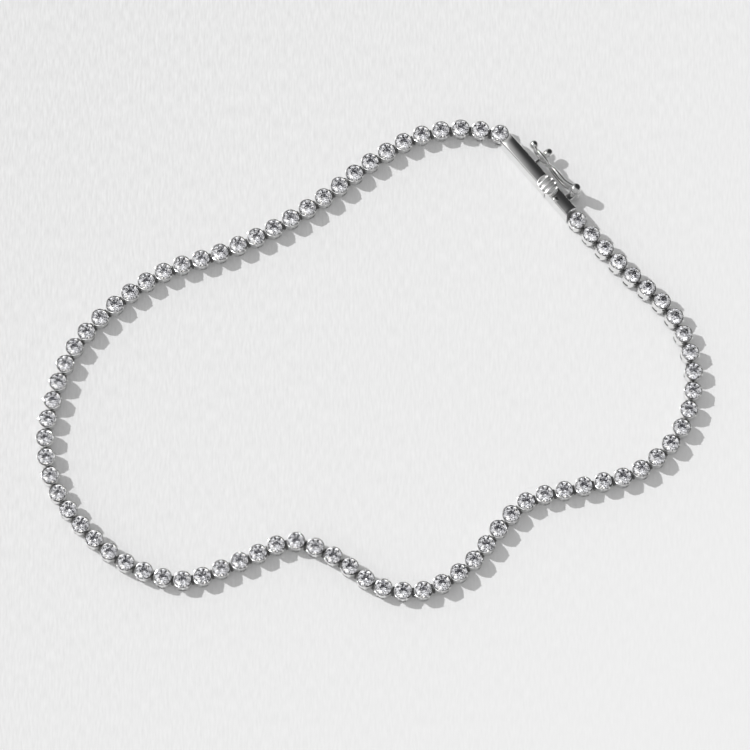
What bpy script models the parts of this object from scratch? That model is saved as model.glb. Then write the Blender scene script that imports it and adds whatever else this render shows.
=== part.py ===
"""A tennis bracelet lying in a loose loop: a line of round stones in low cups, closed by a box clasp.

Metres, +Z up. The bracelet lies on the plane z = 0, and the origin is on that plane, under the middle of its
box. Seen from above, the clasp is at the upper right and the line of stones runs from it anticlockwise. Sizes
that the pieces share are named here once, and what fits against a piece is worked out from the same value.
"""
import math
from collections import namedtuple

import bmesh
import bpy
import numpy as np
from mathutils import Matrix, Vector

MM = 0.001

# The space that the loop takes up on the surface, outside to outside.
LOOP_LENGTH = 66.6 * MM
LOOP_DEPTH = 50.5 * MM

# Stones and their cups.
STONE_DIAMETER = 1.60 * MM
TABLE_DIAMETER = 0.90 * MM
CROWN_HEIGHT = 0.27 * MM
RIM_WALL = 0.125 * MM
CUP_HEIGHT = 1.38 * MM
CUP_TAPER = 0.11 * MM
PRONG_HEIGHT = 0.18 * MM
GIRDLE_SHOW = 0.10
CUP_SIDES = 12
CUP_DIAMETER = STONE_DIAMETER + 2 * RIM_WALL

# The bar that joins each cup to the next.
LINK_GAP = 0.15 * MM
BAR_HEIGHT = 0.45 * MM
BAR_LIFT = 0.35 * MM
LINK_PITCH = CUP_DIAMETER + LINK_GAP

# Clearance between pieces that touch on the real bracelet, and between pieces that slide or turn.
SEAT_GAP = 0.12 * MM
RUN_GAP = 0.10 * MM

# The box clasp, in its own frame: X from the box towards the tongue's end block, Y away from the wrist.
CLASP_WIDTH = 1.38 * MM
CLASP_HEIGHT = 2.20 * MM
BOX_LENGTH = 6.90 * MM
END_LENGTH = 3.40 * MM
CLASP_WRAP = 0.20 * MM
BOX_WALL = 0.20 * MM
EDGE_ROUND = 0.09 * MM
CLASP_LENGTH = BOX_LENGTH + SEAT_GAP + END_LENGTH

# The folded spring tongue and the thumb piece on it.
TONGUE_THICKNESS = 0.24 * MM
TONGUE_LENGTH = 4.60 * MM
FOLD_REACH = 2.2 * TONGUE_THICKNESS
FOLD_HEIGHT = 1.4 * TONGUE_THICKNESS
FOLD_ROUND = 0.4 * TONGUE_THICKNESS
THUMB_LENGTH = 2.20 * MM
THUMB_WIDTH = 1.75 * MM
THUMB_THICKNESS = 0.50 * MM
THUMB_OVER_BOX = 0.25 * MM
NECK_LENGTH = 0.60 * MM
NECK_WIDTH = 0.50 * MM
RIDGES = 4
RIDGE_DEPTH = 0.16 * MM

# The safety latch, its hinge post on the end block and the post that it closes over on the box.
WIRE_DIAMETER = 0.32 * MM
LATCH_LENGTH = 7.00 * MM
LATCH_OFFSET = 0.88 * MM
LATCH_BELOW_TOP = 0.70 * MM
LOOP_GAP = 0.12 * MM
FIRST_LOOP = 0.45
HINGE_FROM_END = 1.65 * MM
HINGE_OFFSET = 1.22 * MM
HINGE_FOOT = 0.20 * MM
HINGE_HEAD = 0.22 * MM
HEAD_DIAMETER = 0.78 * MM
KNUCKLE_DIAMETER = 1.04 * MM
KNUCKLE_WALL = 0.18 * MM
KNUCKLE_HEIGHT = 0.84 * MM
KNUCKLE_ABOVE = 0.54 * MM
ARM_DIAMETER = 0.42 * MM
CATCH_HEAD = 0.92 * MM
CATCH_HEAD_LENGTH = 1.20 * MM
CATCH_POST = 0.46 * MM
TIP_BALL = 0.90 * MM
TIP_STEM = 0.30 * MM
TIP_SPLAY = 0.50
TIP_LIFT = 0.35

# Where the middle of the clasp lies, and the way the line of stones lies from its box round to its tongue.
# Each bend of the route gives x as a percentage of the loop's length, y as one of its depth, and the lean of
# the cups there in degrees, outwards from the loop. The first and the last cup are added at the clasp's ends.
CLASP_CENTRE = Vector((0.2545 * LOOP_LENGTH, 0.3772 * LOOP_DEPTH, 0.0))
CLASP_HEADING = math.radians(-50.5)
END_LEAN = 3.0
Bend = namedtuple("Bend", "x_percent y_percent lean")
ROUTE = [
    Bend(14.1, 48.1, 0), Bend(8.1, 46.9, 0), Bend(0.3, 41.2, 0), Bend(-6.8, 33.7, 0), Bend(-14.4, 27.1, 0),
    Bend(-22.7, 21.8, 0), Bend(-31.1, 17.8, 0), Bend(-38.4, 10.9, 0), Bend(-44.3, 2.2, 0),
    Bend(-47.6, -9.3, 0), Bend(-48.6, -17.2, 0), Bend(-47.7, -24.6, 0), Bend(-42.9, -34.9, 0),
    Bend(-36.0, -42.6, 0), Bend(-27.8, -45.9, 0), Bend(-19.2, -42.0, 0), Bend(-10.8, -38.0, 0),
    Bend(-5.7, -40.8, 0), Bend(2.0, -47.5, 0), Bend(7.5, -48.1, 0), Bend(15.3, -42.0, 0),
    Bend(18.9, -35.8, 0), Bend(23.0, -30.1, 0), Bend(31.7, -26.7, 0), Bend(40.2, -23.4, 0),
    Bend(46.5, -14.7, 2), Bend(48.3, -3.6, 6), Bend(45.5, 7.9, 11), Bend(38.1, 18.0, 12),
]

# Places along the clasp that follow from the sizes above.
BOX_START = -CLASP_LENGTH / 2
SEAM = BOX_START + BOX_LENGTH
END_START = SEAM + SEAT_GAP
END_STOP = CLASP_LENGTH / 2
CUP_CLEARANCE = CUP_DIAMETER / 2 + SEAT_GAP
END_CUP = END_STOP - CLASP_WRAP + CUP_CLEARANCE
SIDE = CLASP_WIDTH / 2
THUMB_X = SEAM - THUMB_OVER_BOX
NECK_X = SEAM - NECK_LENGTH / 2 - RUN_GAP
HINGE_X = END_STOP - HINGE_FROM_END
HINGE_Y = SIDE + HINGE_OFFSET
LATCH_Y = SIDE + LATCH_OFFSET
LATCH_RISE = CLASP_HEIGHT - LATCH_BELOW_TOP
KNUCKLE_RISE = LATCH_RISE + KNUCKLE_ABOVE
TIP_X = HINGE_X - LATCH_LENGTH
WIRE = WIRE_DIAMETER / 2
BOTH_LOOPS = LATCH_LENGTH - TIP_BALL - KNUCKLE_DIAMETER / 2 - RUN_GAP
FIRST_LENGTH = BOTH_LOOPS * FIRST_LOOP
SECOND_LENGTH = BOTH_LOOPS - FIRST_LENGTH
FIRST_MIDDLE = TIP_X + TIP_BALL + FIRST_LENGTH / 2
SECOND_MIDDLE = FIRST_MIDDLE + BOTH_LOOPS / 2


def plain_material(name, colour, roughness, metallic):
    """One Principled BSDF, which also sets the colour in the viewport."""
    material = bpy.data.materials.new(name)
    material.use_nodes = True
    shader = material.node_tree.nodes["Principled BSDF"]
    shader.inputs["Base Color"].default_value = (*colour, 1.0)
    shader.inputs["Roughness"].default_value = roughness
    shader.inputs["Metallic"].default_value = metallic
    material.diffuse_color = (*colour, 1.0)
    return material


def add_object(name, bm):
    """A linked object made from bm, which is freed."""
    bmesh.ops.recalc_face_normals(bm, faces=bm.faces)
    mesh = bpy.data.meshes.new(name)
    bm.to_mesh(mesh)
    bm.free()
    made = bpy.data.objects.new(name, mesh)
    bpy.context.collection.objects.link(made)
    return made


def boolean(target, tool, operation):
    """Unite target with tool, or cut it by tool, and use the tool up."""
    step = target.modifiers.new(operation, "BOOLEAN")
    step.operation = operation
    step.solver = "EXACT"
    step.object = tool
    settled = target.evaluated_get(bpy.context.evaluated_depsgraph_get())
    mesh = bpy.data.meshes.new_from_object(settled)
    target.modifiers.remove(step)
    old = target.data
    target.data = mesh
    bpy.data.meshes.remove(old)
    bpy.data.objects.remove(tool)


def block(name, low, high, rounding=0.0):
    """A box between two corners, its edges along X rounded."""
    bm = bmesh.new()
    bmesh.ops.create_cube(bm, size=1.0)
    low, high = Vector(low), Vector(high)
    for vert in bm.verts:
        vert.co = Vector((low[i] + (vert.co[i] + 0.5) * (high[i] - low[i]) for i in range(3)))
    if rounding:
        along = [e for e in bm.edges if abs(e.verts[0].co.x - e.verts[1].co.x) > 1e-9]
        bmesh.ops.bevel(bm, geom=along, offset=rounding, segments=2, profile=0.5, affect="EDGES")
    return add_object(name, bm)


def cylinder(name, start, end, radius, sides=12):
    """A straight post or hole from start to end."""
    start, end = Vector(start), Vector(end)
    bm = bmesh.new()
    bmesh.ops.create_cone(bm, cap_ends=True, segments=sides, radius1=radius, radius2=radius,
                          depth=(end - start).length)
    turn = Vector((0, 0, 1)).rotation_difference(end - start).to_matrix().to_4x4()
    bmesh.ops.transform(bm, matrix=Matrix.Translation((start + end) / 2) @ turn, verts=bm.verts)
    return add_object(name, bm)


def turned(name, foot, direction, profile, sides=12):
    """A turned piece on an axis from foot: profile rows give the distance along the axis and the radius."""
    bm = bmesh.new()
    rings = []
    for reach, radius in profile:
        ring = []
        for i in range(sides):
            angle = 2 * math.pi * (i + 0.5) / sides
            ring.append(bm.verts.new((radius * math.cos(angle), radius * math.sin(angle), reach)))
        rings.append(ring)
    bm.faces.new(rings[0])
    bm.faces.new(rings[-1])
    for low, high in zip(rings, rings[1:]):
        for i in range(sides):
            j = (i + 1) % sides
            bm.faces.new((low[i], low[j], high[j], high[i]))
    turn = Vector((0, 0, 1)).rotation_difference(Vector(direction)).to_matrix().to_4x4()
    bmesh.ops.transform(bm, matrix=Matrix.Translation(foot) @ turn, verts=bm.verts)
    return add_object(name, bm)


def ball_profile(start, length, width, neck, steps=5):
    """Rows of a turned piece for a ball of that length and width, from where it meets a neck of that radius
    to a small flat at its far end."""
    first = math.asin(2 * neck / width)
    rows = []
    for i in range(steps + 1):
        angle = first + (math.pi - 0.25 - first) * i / steps
        rows.append((start + length / 2 * (1 - math.cos(angle)), width / 2 * math.sin(angle)))
    return rows


def prism(name, outline, low_y, high_y):
    """An outline in X and Z, carried along Y."""
    bm = bmesh.new()
    near = [bm.verts.new((x, low_y, z)) for x, z in outline]
    far = [bm.verts.new((x, high_y, z)) for x, z in outline]
    bm.faces.new(near)
    bm.faces.new(far)
    for i in range(len(outline)):
        j = (i + 1) % len(outline)
        bm.faces.new((near[i], near[j], far[j], far[i]))
    return add_object(name, bm)


def wire_loop(name, centre, half_length, half_height, sides=6, steps=16):
    """A closed oval of wire that stands along X and Z: a ring of wire round each of the oval's points."""
    around = np.arange(steps) * 2 * math.pi / steps
    across = (np.arange(sides) + 0.5) * 2 * math.pi / sides
    middle = np.stack([half_length * np.cos(around), half_height * np.sin(around)], axis=1)
    outward = np.stack([half_height * np.cos(around), half_length * np.sin(around)], axis=1)
    outward /= np.linalg.norm(outward, axis=1)[:, None]
    flat = middle[:, None, :] + WIRE * np.cos(across)[None, :, None] * outward[:, None, :]
    x, y, z = centre
    bm = bmesh.new()
    rows = []
    for ring in flat:
        rows.append([bm.verts.new((x + point[0], y + WIRE * math.sin(turn), z + point[1]))
                     for point, turn in zip(ring, across)])
    for i in range(steps):
        for k in range(sides):
            a, b = rows[i], rows[(i + 1) % steps]
            bm.faces.new((a[k], a[(k + 1) % sides], b[(k + 1) % sides], b[k]))
    return add_object(name, bm)


def clasp_matrix():
    """The clasp's place in the bracelet."""
    return Matrix.Translation(CLASP_CENTRE) @ Matrix.Rotation(CLASP_HEADING, 4, "Z")


def route_points():
    """The route with the end cups added: rows of x, y in metres and lean in degrees."""
    place = clasp_matrix()
    first = place @ Vector((-END_CUP, 0, 0))
    last = place @ Vector((END_CUP, 0, 0))
    middle = [(bend.x_percent / 100 * LOOP_LENGTH, bend.y_percent / 100 * LOOP_DEPTH, bend.lean)
              for bend in ROUTE]
    return np.array([(first.x, first.y, 0.0)] + middle + [(last.x, last.y, END_LEAN)])


def smooth_route(points, samples=24):
    """A smooth curve through the points: cubic pieces whose slope at a point is that of the parabola through
    it and its two neighbours."""
    steps = np.linalg.norm(np.diff(points[:, :2], axis=0), axis=1)
    runs = np.diff(points, axis=0) / steps[:, None]
    slopes = np.empty_like(points)
    share = steps[:-1] / (steps[:-1] + steps[1:])
    slopes[1:-1] = runs[:-1] * (1 - share)[:, None] + runs[1:] * share[:, None]
    slopes[0] = 1.5 * runs[0] - 0.5 * slopes[1]
    slopes[-1] = 1.5 * runs[-1] - 0.5 * slopes[-2]
    t = np.linspace(0, 1, samples, endpoint=False)[:, None]
    pieces = []
    for i, step in enumerate(steps):
        pieces.append((2 * t**3 - 3 * t**2 + 1) * points[i] + (t**3 - 2 * t**2 + t) * step * slopes[i]
                      + (3 * t**2 - 2 * t**3) * points[i + 1] + (t**3 - t**2) * step * slopes[i + 1])
    pieces.append(points[-1:])
    return np.concatenate(pieces)


def link_places():
    """A matrix for each link: at even steps on the route, turned along it, leaning, its base on z = 0."""
    curve = smooth_route(route_points())
    run = np.concatenate([[0], np.cumsum(np.linalg.norm(np.diff(curve[:, :2], axis=0), axis=1))])
    count = round(run[-1] / LINK_PITCH) + 1
    at = np.linspace(0, run[-1], count)
    x, y, lean = (np.interp(at, run, curve[:, i]) for i in range(3))
    ahead = np.arctan2(np.gradient(y), np.gradient(x))
    base_radius = CUP_DIAMETER / 2 - CUP_TAPER
    places = []
    for i in range(count):
        angle = math.radians(lean[i])
        lift = base_radius * abs(math.sin(angle))
        places.append(Matrix.Translation((x[i], y[i], lift)) @ Matrix.Rotation(ahead[i], 4, "Z")
                      @ Matrix.Rotation(angle, 4, "X"))
    return places


def link_rings():
    """The rings of one set stone, from the cup's base to the stone's table, as lists of points. Its four
    prongs stand in pairs on the two outer sides, a corner to each side of the middle."""
    turn = 2 * math.pi / CUP_SIDES
    rim = CUP_DIAMETER / 2
    prongs = [i for i in range(CUP_SIDES) if 0.2 < abs(math.cos(i * turn)) < 0.6]
    profile = [
        (rim - CUP_TAPER, 0.0),
        (rim - CUP_TAPER * 0.6, BAR_LIFT),
        (rim - CUP_TAPER * 0.2, BAR_LIFT + BAR_HEIGHT),
        (rim, CUP_HEIGHT),
        (STONE_DIAMETER / 2, CUP_HEIGHT + CROWN_HEIGHT * GIRDLE_SHOW),
        (TABLE_DIAMETER / 2, CUP_HEIGHT + CROWN_HEIGHT),
    ]
    rings = []
    for row, (radius, height) in enumerate(profile):
        ring = []
        for i in range(CUP_SIDES):
            angle = i * turn
            reach, level = radius, height
            if row == 3 and i in prongs:
                reach, level = radius - RIM_WALL / 2, height + PRONG_HEIGHT
            if row == 5:
                angle += turn / 2
            ring.append(Vector((reach * math.cos(angle), reach * math.sin(angle), level)))
        rings.append(ring)
    return rings


def stone_line(name, places, bar_behind, bar_ahead):
    """A stretch of the line as one closed body: each cup with its stone, joined to the next by a bar. Where
    the stretch meets the other one its last bar stops halfway, and beside the clasp there is none."""
    rings = link_rings()
    half = CUP_SIDES // 2
    ahead = [1, 0, CUP_SIDES - 1]
    behind = [half - 1, half, half + 1]
    bar_end = LINK_PITCH / 2 - RUN_GAP / 2
    bm = bmesh.new()
    links = [[[bm.verts.new(place @ point) for point in ring] for ring in rings] for place in places]

    def mouth(link, corners):
        """The edge of the opening that a bar starts from, across its foot and back across its top."""
        return [link[1][i] for i in corners] + [link[2][i] for i in reversed(corners)]

    def join(edge, other):
        for i in range(len(edge)):
            j = (i + 1) % len(edge)
            bm.faces.new((edge[i], edge[j], other[j], other[i]))

    def half_bar(place, edge, side):
        """A bar that ends in a flat face halfway to the next cup."""
        inner = [place.inverted() @ vert.co for vert in edge]
        tip = [bm.verts.new(place @ Vector((side * bar_end, point.y, point.z))) for point in inner]
        join(edge, tip)
        bm.faces.new(tip)

    for n, link in enumerate(links):
        open_sides = []
        if n + 1 < len(links) or bar_ahead:
            open_sides += [0, CUP_SIDES - 1]
        if n > 0 or bar_behind:
            open_sides += [half - 1, half]
        bm.faces.new(link[0])
        bm.faces.new(link[-1])
        for row in range(len(link) - 1):
            for i in range(CUP_SIDES):
                j = (i + 1) % CUP_SIDES
                if row != 1 or i not in open_sides:
                    bm.faces.new((link[row][i], link[row][j], link[row + 1][j], link[row + 1][i]))
    for link, following in zip(links, links[1:]):
        join(mouth(link, ahead), mouth(following, behind))
    if bar_ahead:
        half_bar(places[-1], mouth(links[-1], ahead), 1)
    if bar_behind:
        half_bar(places[0], mouth(links[0], behind), -1)
    bmesh.ops.triangulate(bm, faces=bm.faces)
    return add_object(name, bm)


def cup_hollow(name, x):
    """The cutter that makes an end of the clasp follow the round cup beside it."""
    return cylinder(name, (x, 0, -CLASP_HEIGHT), (x, 0, 2 * CLASP_HEIGHT), CUP_CLEARANCE, sides=32)


def catch_post(name):
    """The post with a drawn-out ball head that the latch's first loop closes over."""
    root = BOX_WALL / 2
    head_start = root + LATCH_OFFSET + WIRE + RUN_GAP
    profile = [(0, CATCH_POST / 2)] + ball_profile(head_start, CATCH_HEAD_LENGTH, CATCH_HEAD, CATCH_POST / 2)
    return turned(name, (FIRST_MIDDLE, SIDE - root, LATCH_RISE), (0, 1, 0), profile)


def clasp_box():
    """The hollow box: open at the seam, with a slot in its top for the thumb piece's neck."""
    box = block("clasp_box", (BOX_START, -SIDE, 0), (SEAM, SIDE, CLASP_HEIGHT), EDGE_ROUND)
    boolean(box, cup_hollow("cup_hollow", -END_CUP), "DIFFERENCE")
    inner = SIDE - BOX_WALL
    depth = SEAM - TONGUE_LENGTH - 2 * RUN_GAP
    cavity = block("cavity", (depth, -inner, BOX_WALL), (SEAM + BOX_WALL, inner, CLASP_HEIGHT - BOX_WALL))
    boolean(box, cavity, "DIFFERENCE")
    slot_side = NECK_WIDTH / 2 + RUN_GAP
    slot = block("slot", (NECK_X - NECK_LENGTH / 2 - RUN_GAP, -slot_side, CLASP_HEIGHT / 2),
                 (SEAM + BOX_WALL, slot_side, 2 * CLASP_HEIGHT))
    boolean(box, slot, "DIFFERENCE")
    boolean(box, catch_post("catch_post"), "UNION")
    return box


def spring_tongue(name):
    """The folded leaf: along the box's floor from the end block to its fold, and back up to the neck."""
    low = BOX_WALL + RUN_GAP
    high = CLASP_HEIGHT - BOX_WALL - RUN_GAP
    tip = SEAM - TONGUE_LENGTH - RUN_GAP
    leaf = TONGUE_THICKNESS
    neck_near, neck_far = NECK_X - NECK_LENGTH / 2, NECK_X + NECK_LENGTH / 2
    outline = [
        (END_START + leaf, low), (END_START + leaf, low + leaf), (tip + FOLD_REACH, low + leaf),
        (neck_near, high - leaf), (neck_far, high - leaf), (neck_far, high), (neck_near - leaf, high),
        (tip, low + FOLD_HEIGHT), (tip, low + FOLD_ROUND), (tip + FOLD_ROUND, low),
    ]
    inner = SIDE - BOX_WALL - RUN_GAP
    return prism(name, outline, -inner, inner)


def thumb_piece(name):
    """The rounded, ridged button over the seam, and the neck that joins it to the tongue."""
    under = CLASP_HEIGHT + RUN_GAP
    steps = 20
    bm = bmesh.new()
    levels = [(under, 0.90), (under + 0.4 * THUMB_THICKNESS, 1.0), (under + THUMB_THICKNESS, 0.92)]
    rings = []
    for level, share in levels:
        ring = []
        for i in range(steps):
            angle = 2 * math.pi * i / steps
            c, s = math.cos(angle), math.sin(angle)
            x = share * THUMB_LENGTH / 2 * math.copysign(abs(c) ** 0.75, c)
            y = share * THUMB_WIDTH / 2 * math.copysign(abs(s) ** 0.75, s)
            ring.append(bm.verts.new((THUMB_X + x, y, level)))
        rings.append(ring)
    bm.faces.new(rings[0])
    bm.faces.new(rings[-1])
    for low, high in zip(rings, rings[1:]):
        for i in range(steps):
            j = (i + 1) % steps
            bm.faces.new((low[i], low[j], high[j], high[i]))
    thumb = add_object(name, bm)
    pitch = THUMB_LENGTH / RIDGES
    above = under + THUMB_THICKNESS + RIDGE_DEPTH / 4
    foot = under + THUMB_THICKNESS - RIDGE_DEPTH
    for n in range(1, RIDGES):
        x = THUMB_X - THUMB_LENGTH / 2 + n * pitch
        groove = [(x - pitch / 3, above), (x, foot), (x + pitch / 3, above)]
        boolean(thumb, prism("groove", groove, -THUMB_WIDTH, THUMB_WIDTH), "DIFFERENCE")
    neck_low = CLASP_HEIGHT - BOX_WALL - RUN_GAP - TONGUE_THICKNESS / 2
    neck = block("neck", (NECK_X - NECK_LENGTH / 2, -NECK_WIDTH / 2, neck_low),
                 (NECK_X + NECK_LENGTH / 2, NECK_WIDTH / 2, under + THUMB_THICKNESS / 3))
    boolean(thumb, neck, "UNION")
    return thumb


def hinge_post(name):
    """The latch's hinge on the end block: a round lug on a web, the pin that stands on it and its head."""
    low = KNUCKLE_RISE - KNUCKLE_HEIGHT / 2 - RUN_GAP
    high = KNUCKLE_RISE + KNUCKLE_HEIGHT / 2 + RUN_GAP
    radius = KNUCKLE_DIAMETER / 2
    pin_radius = radius - KNUCKLE_WALL - RUN_GAP
    rows = [
        (HINGE_FOOT, radius), (low, radius), (low, pin_radius), (high, pin_radius),
        (high, HEAD_DIAMETER / 2), (high + 0.5 * HINGE_HEAD, 0.44 * HEAD_DIAMETER),
        (high + HINGE_HEAD, 0.22 * HEAD_DIAMETER),
    ]
    profile = [(level - HINGE_FOOT, reach) for level, reach in rows]
    post = turned(name, (HINGE_X, HINGE_Y, HINGE_FOOT), (0, 0, 1), profile, sides=16)
    web_margin = 0.12 * (low - HINGE_FOOT)
    web = block("web", (HINGE_X - 0.7 * radius, SIDE - BOX_WALL, HINGE_FOOT + web_margin),
                (HINGE_X + 0.7 * radius, HINGE_Y, low - web_margin))
    boolean(post, web, "UNION")
    return post


def clasp_tongue():
    """The end block with its spring tongue, thumb piece and hinge post, soldered into one."""
    end = block("clasp_tongue", (END_START, -SIDE, 0), (END_STOP, SIDE, CLASP_HEIGHT), EDGE_ROUND)
    boolean(end, cup_hollow("cup_hollow", END_CUP), "DIFFERENCE")
    tongue = spring_tongue("tongue")
    boolean(tongue, thumb_piece("thumb"), "UNION")
    boolean(end, tongue, "UNION")
    boolean(end, hinge_post("hinge_post"), "UNION")
    return end


def safety_latch():
    """The figure-eight wire: two loops end to end, the ball at the tip, and the arm that rises from the second
    loop to the knuckle on the hinge pin."""
    height = CATCH_HEAD / 2 + LOOP_GAP + WIRE
    first_half = FIRST_LENGTH / 2 - WIRE
    second_half = SECOND_LENGTH / 2 - 0.4 * WIRE
    second_middle = SECOND_MIDDLE - 0.6 * WIRE
    latch = wire_loop("safety_latch", (FIRST_MIDDLE, LATCH_Y, LATCH_RISE), first_half, height)
    boolean(latch, wire_loop("loop", (second_middle, LATCH_Y, LATCH_RISE), second_half, height), "UNION")
    radius = KNUCKLE_DIAMETER / 2
    base, top = KNUCKLE_RISE - KNUCKLE_HEIGHT / 2, KNUCKLE_RISE + KNUCKLE_HEIGHT / 2
    knuckle = cylinder("knuckle", (HINGE_X, HINGE_Y, base), (HINGE_X, HINGE_Y, top), radius * 0.98, sides=16)
    arm_start = second_middle + 0.5 * second_half
    arm = cylinder("arm", (arm_start, LATCH_Y, LATCH_RISE + 0.8 * height),
                   (HINGE_X - radius / 2, HINGE_Y, KNUCKLE_RISE), ARM_DIAMETER / 2, sides=8)
    boolean(knuckle, arm, "UNION")
    bore = cylinder("bore", (HINGE_X, HINGE_Y, base - radius), (HINGE_X, HINGE_Y, top + radius),
                    radius - KNUCKLE_WALL)
    boolean(knuckle, bore, "DIFFERENCE")
    boolean(latch, knuckle, "UNION")
    stem_start = FIRST_MIDDLE - first_half + WIRE / 3
    stem = stem_start - (TIP_X + TIP_BALL)
    profile = [(0, TIP_STEM / 2)] + ball_profile(stem, TIP_BALL, TIP_BALL, TIP_STEM / 2)
    tip = turned("tip", (stem_start, LATCH_Y, LATCH_RISE), (-1, TIP_SPLAY, TIP_LIFT), profile)
    boolean(latch, tip, "UNION")
    return latch


for old in list(bpy.data.objects):
    bpy.data.objects.remove(old)

polished = plain_material("polished_white_metal", (0.80, 0.80, 0.79), 0.10, 1.0)
stones = plain_material("clear_stones_in_white_metal", (0.86, 0.86, 0.88), 0.08, 0.6)

links = link_places()
middle = len(links) // 2
for line in (stone_line("stone_line_left", links[:middle], bar_behind=False, bar_ahead=True),
             stone_line("stone_line_right", links[middle:], bar_behind=True, bar_ahead=False)):
    line.data.materials.append(stones)

for piece in (clasp_box(), clasp_tongue(), safety_latch()):
    piece.matrix_world = clasp_matrix()
    piece.data.materials.clear()
    piece.data.materials.append(polished)
    piece.data.shade_smooth()
    piece.data.set_sharp_from_angle(angle=math.radians(35))
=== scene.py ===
"""The looks of a tennis bracelet that lies in a loose loop on a sheet of paper.

Metres, +Z up, the paper at z = 0. Each section below makes one piece, or one group of like pieces, with its
sizes, its mesh and its material together, in the order in which the bracelet is put together.
"""

from collections import namedtuple
import math

import bpy
import numpy as np
from mathutils import Matrix, Vector


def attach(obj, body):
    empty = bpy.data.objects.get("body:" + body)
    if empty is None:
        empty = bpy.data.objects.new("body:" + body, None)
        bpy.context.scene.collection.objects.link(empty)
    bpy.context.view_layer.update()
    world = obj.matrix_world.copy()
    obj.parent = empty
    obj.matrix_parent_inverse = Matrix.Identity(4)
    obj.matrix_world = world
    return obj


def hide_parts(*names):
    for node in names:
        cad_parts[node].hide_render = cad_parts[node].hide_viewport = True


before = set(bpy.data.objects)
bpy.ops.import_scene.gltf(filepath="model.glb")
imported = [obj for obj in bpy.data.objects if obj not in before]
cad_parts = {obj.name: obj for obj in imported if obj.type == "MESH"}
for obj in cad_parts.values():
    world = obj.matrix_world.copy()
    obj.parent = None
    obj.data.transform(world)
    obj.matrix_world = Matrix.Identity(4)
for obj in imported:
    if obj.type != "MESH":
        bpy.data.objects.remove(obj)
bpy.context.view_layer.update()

# The camera. It looks at the middle of the loop from the front and from high up, through a long lens, so the
# loop fills most of the picture's width.
CAMERA_TARGET = Vector((0.000498, -0.001471, 0.0))
CAMERA_ELEVATION = math.radians(72)
CAMERA_DISTANCE = 0.700
PICTURE_WIDTH = 0.075
SENSOR_WIDTH = 36.0

camera = bpy.data.objects.new("camera", bpy.data.cameras.new("camera"))
bpy.context.collection.objects.link(camera)
camera.location = CAMERA_TARGET + CAMERA_DISTANCE * Vector(
    (0, -math.cos(CAMERA_ELEVATION), math.sin(CAMERA_ELEVATION)))
camera.rotation_euler = (math.pi / 2 - CAMERA_ELEVATION, 0, 0)
camera.data.sensor_width = SENSOR_WIDTH
camera.data.lens = SENSOR_WIDTH * CAMERA_DISTANCE / PICTURE_WIDTH
camera.data.clip_start = 0.01
bpy.context.scene.camera = camera

# The light: one small lamp halfway up on the left and behind, whose shadows fall to the right and a little to
# the front, and an even soft fill. Polished metal mirrors a pale room with a bright screen beside the lamp. It
# darkens softly to the back on the right and all along the horizon. The stones see one of more contrast.
LAMP_TRAVEL = Vector((0.95, -0.43, -1.0))
LAMP_STRENGTH = 2.0
LAMP_ANGLE = 0.035
FILL = (0.515, 0.515, 0.515, 1)
BACKDROP = (0.80, 0.80, 0.80, 1)
METAL_PALE = (0.50, 0.50, 0.50, 1)
STONE_PALE = (0.86, 0.86, 0.875, 1)
HORIZON_DARK = (0.04, 0.04, 0.04, 1)
HORIZON_HEIGHTS = (0.10, 0.30)
Patch = namedtuple("Patch", "colour towards core edge")
METAL_PATCHES = [
    Patch((1.5, 1.5, 1.5, 1), (-0.75, 0.15, 0.62), 12, 28),
    Patch((0.042, 0.042, 0.043, 1), (0.62, 0.50, 0.60), 38, 68),
]
STONE_PATCHES = [
    Patch((2.4, 2.4, 2.45, 1), (-0.62, 0.22, 0.72), 19, 27),
    Patch((0.04, 0.04, 0.05, 1), (0.00, -0.10, 1.00), 19, 27),
    Patch((0.04, 0.04, 0.05, 1), (0.62, 0.50, 0.60), 20, 26),
    Patch((0.04, 0.04, 0.05, 1), (-0.50, -0.70, 0.50), 13, 18),
    Patch((2.6, 2.5, 2.3, 1), (0.70, -0.40, 0.60), 9, 13),
    Patch((1.4, 1.4, 1.7, 1), (-0.10, 0.80, 0.55), 12, 18),
]

lamp = bpy.data.objects.new("lamp", bpy.data.lights.new("lamp", "SUN"))
bpy.context.collection.objects.link(lamp)
lamp.data.energy = LAMP_STRENGTH
lamp.data.angle = LAMP_ANGLE
lamp.rotation_euler = LAMP_TRAVEL.to_track_quat("-Z", "Y").to_euler()

room = bpy.data.worlds.new("room")
bpy.context.scene.world = room
room.use_nodes = True
room_nodes = room.node_tree.nodes
room_links = room.node_tree.links
towards = room_nodes.new("ShaderNodeTexCoord")
seen = room_nodes.new("ShaderNodeLightPath")


def room_colour(colour):
    """An even colour all round."""
    even = room_nodes.new("ShaderNodeRGB")
    even.outputs[0].default_value = colour
    return even.outputs[0]


def room_mix(factor, under, over):
    """One colour over another by a factor."""
    mix = room_nodes.new("ShaderNodeMix")
    mix.data_type = "RGBA"
    room_links.new(factor, mix.inputs["Factor"])
    room_links.new(under, mix.inputs["A"])
    room_links.new(over, mix.inputs["B"])
    return mix.outputs["Result"]


def room_cover(under, colour, direction, none, full):
    """The colour laid over what is under it, by how far a ray's direction goes along the given one: not at
    all up to the first share, and wholly from the second on."""
    along = room_nodes.new("ShaderNodeVectorMath")
    along.operation = "DOT_PRODUCT"
    along.inputs[1].default_value = direction
    cover = room_nodes.new("ShaderNodeMapRange")
    cover.interpolation_type = "SMOOTHSTEP"
    cover.inputs["From Min"].default_value = none
    cover.inputs["From Max"].default_value = full
    room_links.new(towards.outputs["Generated"], along.inputs[0])
    room_links.new(along.outputs["Value"], cover.inputs["Value"])
    return room_mix(cover.outputs["Result"], under, room_colour(colour))


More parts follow.
